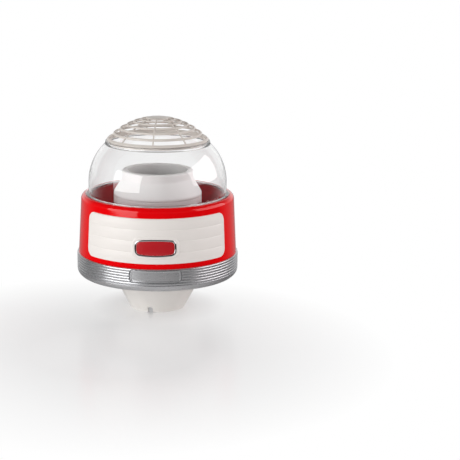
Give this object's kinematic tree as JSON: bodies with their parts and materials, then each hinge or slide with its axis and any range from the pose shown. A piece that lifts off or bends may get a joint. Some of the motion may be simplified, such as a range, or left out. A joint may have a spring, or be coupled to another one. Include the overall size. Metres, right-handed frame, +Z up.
{
  "type": "popcorn maker",
  "caption": "Hot-air popcorn maker: a red drum with a clear vented lift-off dome over a heated tower, made to stand on a bucket or on its own base.",
  "frame": {"origin": "on the table, on the tower's axis, at the middle of the base's foot", "axes": "+Z up along the tower's axis, -Y towards the front panel, +Y towards the switch and the cord gland"},
  "size_m": [0.24, 0.24, 0.2875],
  "materials": {
    "grille_plastic": "smooth moulded",
    "clear_plastic": "clear polished",
    "red_plastic": "high gloss",
    "white_plastic": "gloss",
    "silver_plastic": "satin metallic paint",
    "chrome_trim": "bright plated",
    "aluminium_sheet": "pressed sheet",
    "steel": "zinc plated",
    "heating_wire": "oxidised",
    "mica": "flaky sheet",
    "silicone": "matt",
    "dark_plastic": "fine texture",
    "rocker_plastic": "satin",
    "black_rubber": "matt",
    "bronze": "sintered",
    "board": "lacquered",
    "fuse_shell": "plated"
  },
  "bodies": {
    "housing": {"outer_shell": "red_plastic", "chute_liner": "red_plastic", "badge_plate": "red_plastic", "front_panel": "white_plastic", "lower_frame": "white_plastic", "tower_wall": "white_plastic", "chimney": "white_plastic", "base_cone": "white_plastic", "trim_ring": "silver_plastic", "nameplate": "silver_plastic", "badge_frame": "chrome_trim", "popping_chamber": "aluminium_sheet", "heater_can": "steel", "motor_can": "steel", "frame_screws": "steel", "stack_screws": "steel", "base_screws": "steel", "motor_screws": "steel", "heating_coil": "heating_wire", "mica_frame": "mica", "chamber_gasket": "silicone", "switch_body": "dark_plastic", "thermostat": "dark_plastic", "motor_end_cap": "dark_plastic", "motor_mount": "dark_plastic", "rectifier_diodes": "dark_plastic", "cord_gland": "black_rubber", "motor_bushes": "bronze", "rectifier_board": "board", "thermal_fuse": "fuse_shell"},
    "dome": {"dome": "clear_plastic", "vent_grille": "grille_plastic"},
    "rotor": {"fan_impeller": "dark_plastic", "motor_shaft": "steel"},
    "rocker": {"switch_rocker": "rocker_plastic"}
  },
  "joints": [
    {"name": "dome_lift", "type": "slide", "parent": "housing", "child": "dome", "axis": [0, 0, 1], "range_m": [0, 0.11]},
    {"name": "fan_spin", "type": "hinge", "parent": "housing", "child": "rotor", "pos_m": [0, 0, 0.06], "axis": [0, 0, 1], "continuous": true},
    {"name": "switch_rock", "type": "hinge", "parent": "housing", "child": "rocker", "pos_m": [0, 0.1166, 0.138], "axis": [1, 0, 0], "range_deg": [0, 18]}
  ]
}
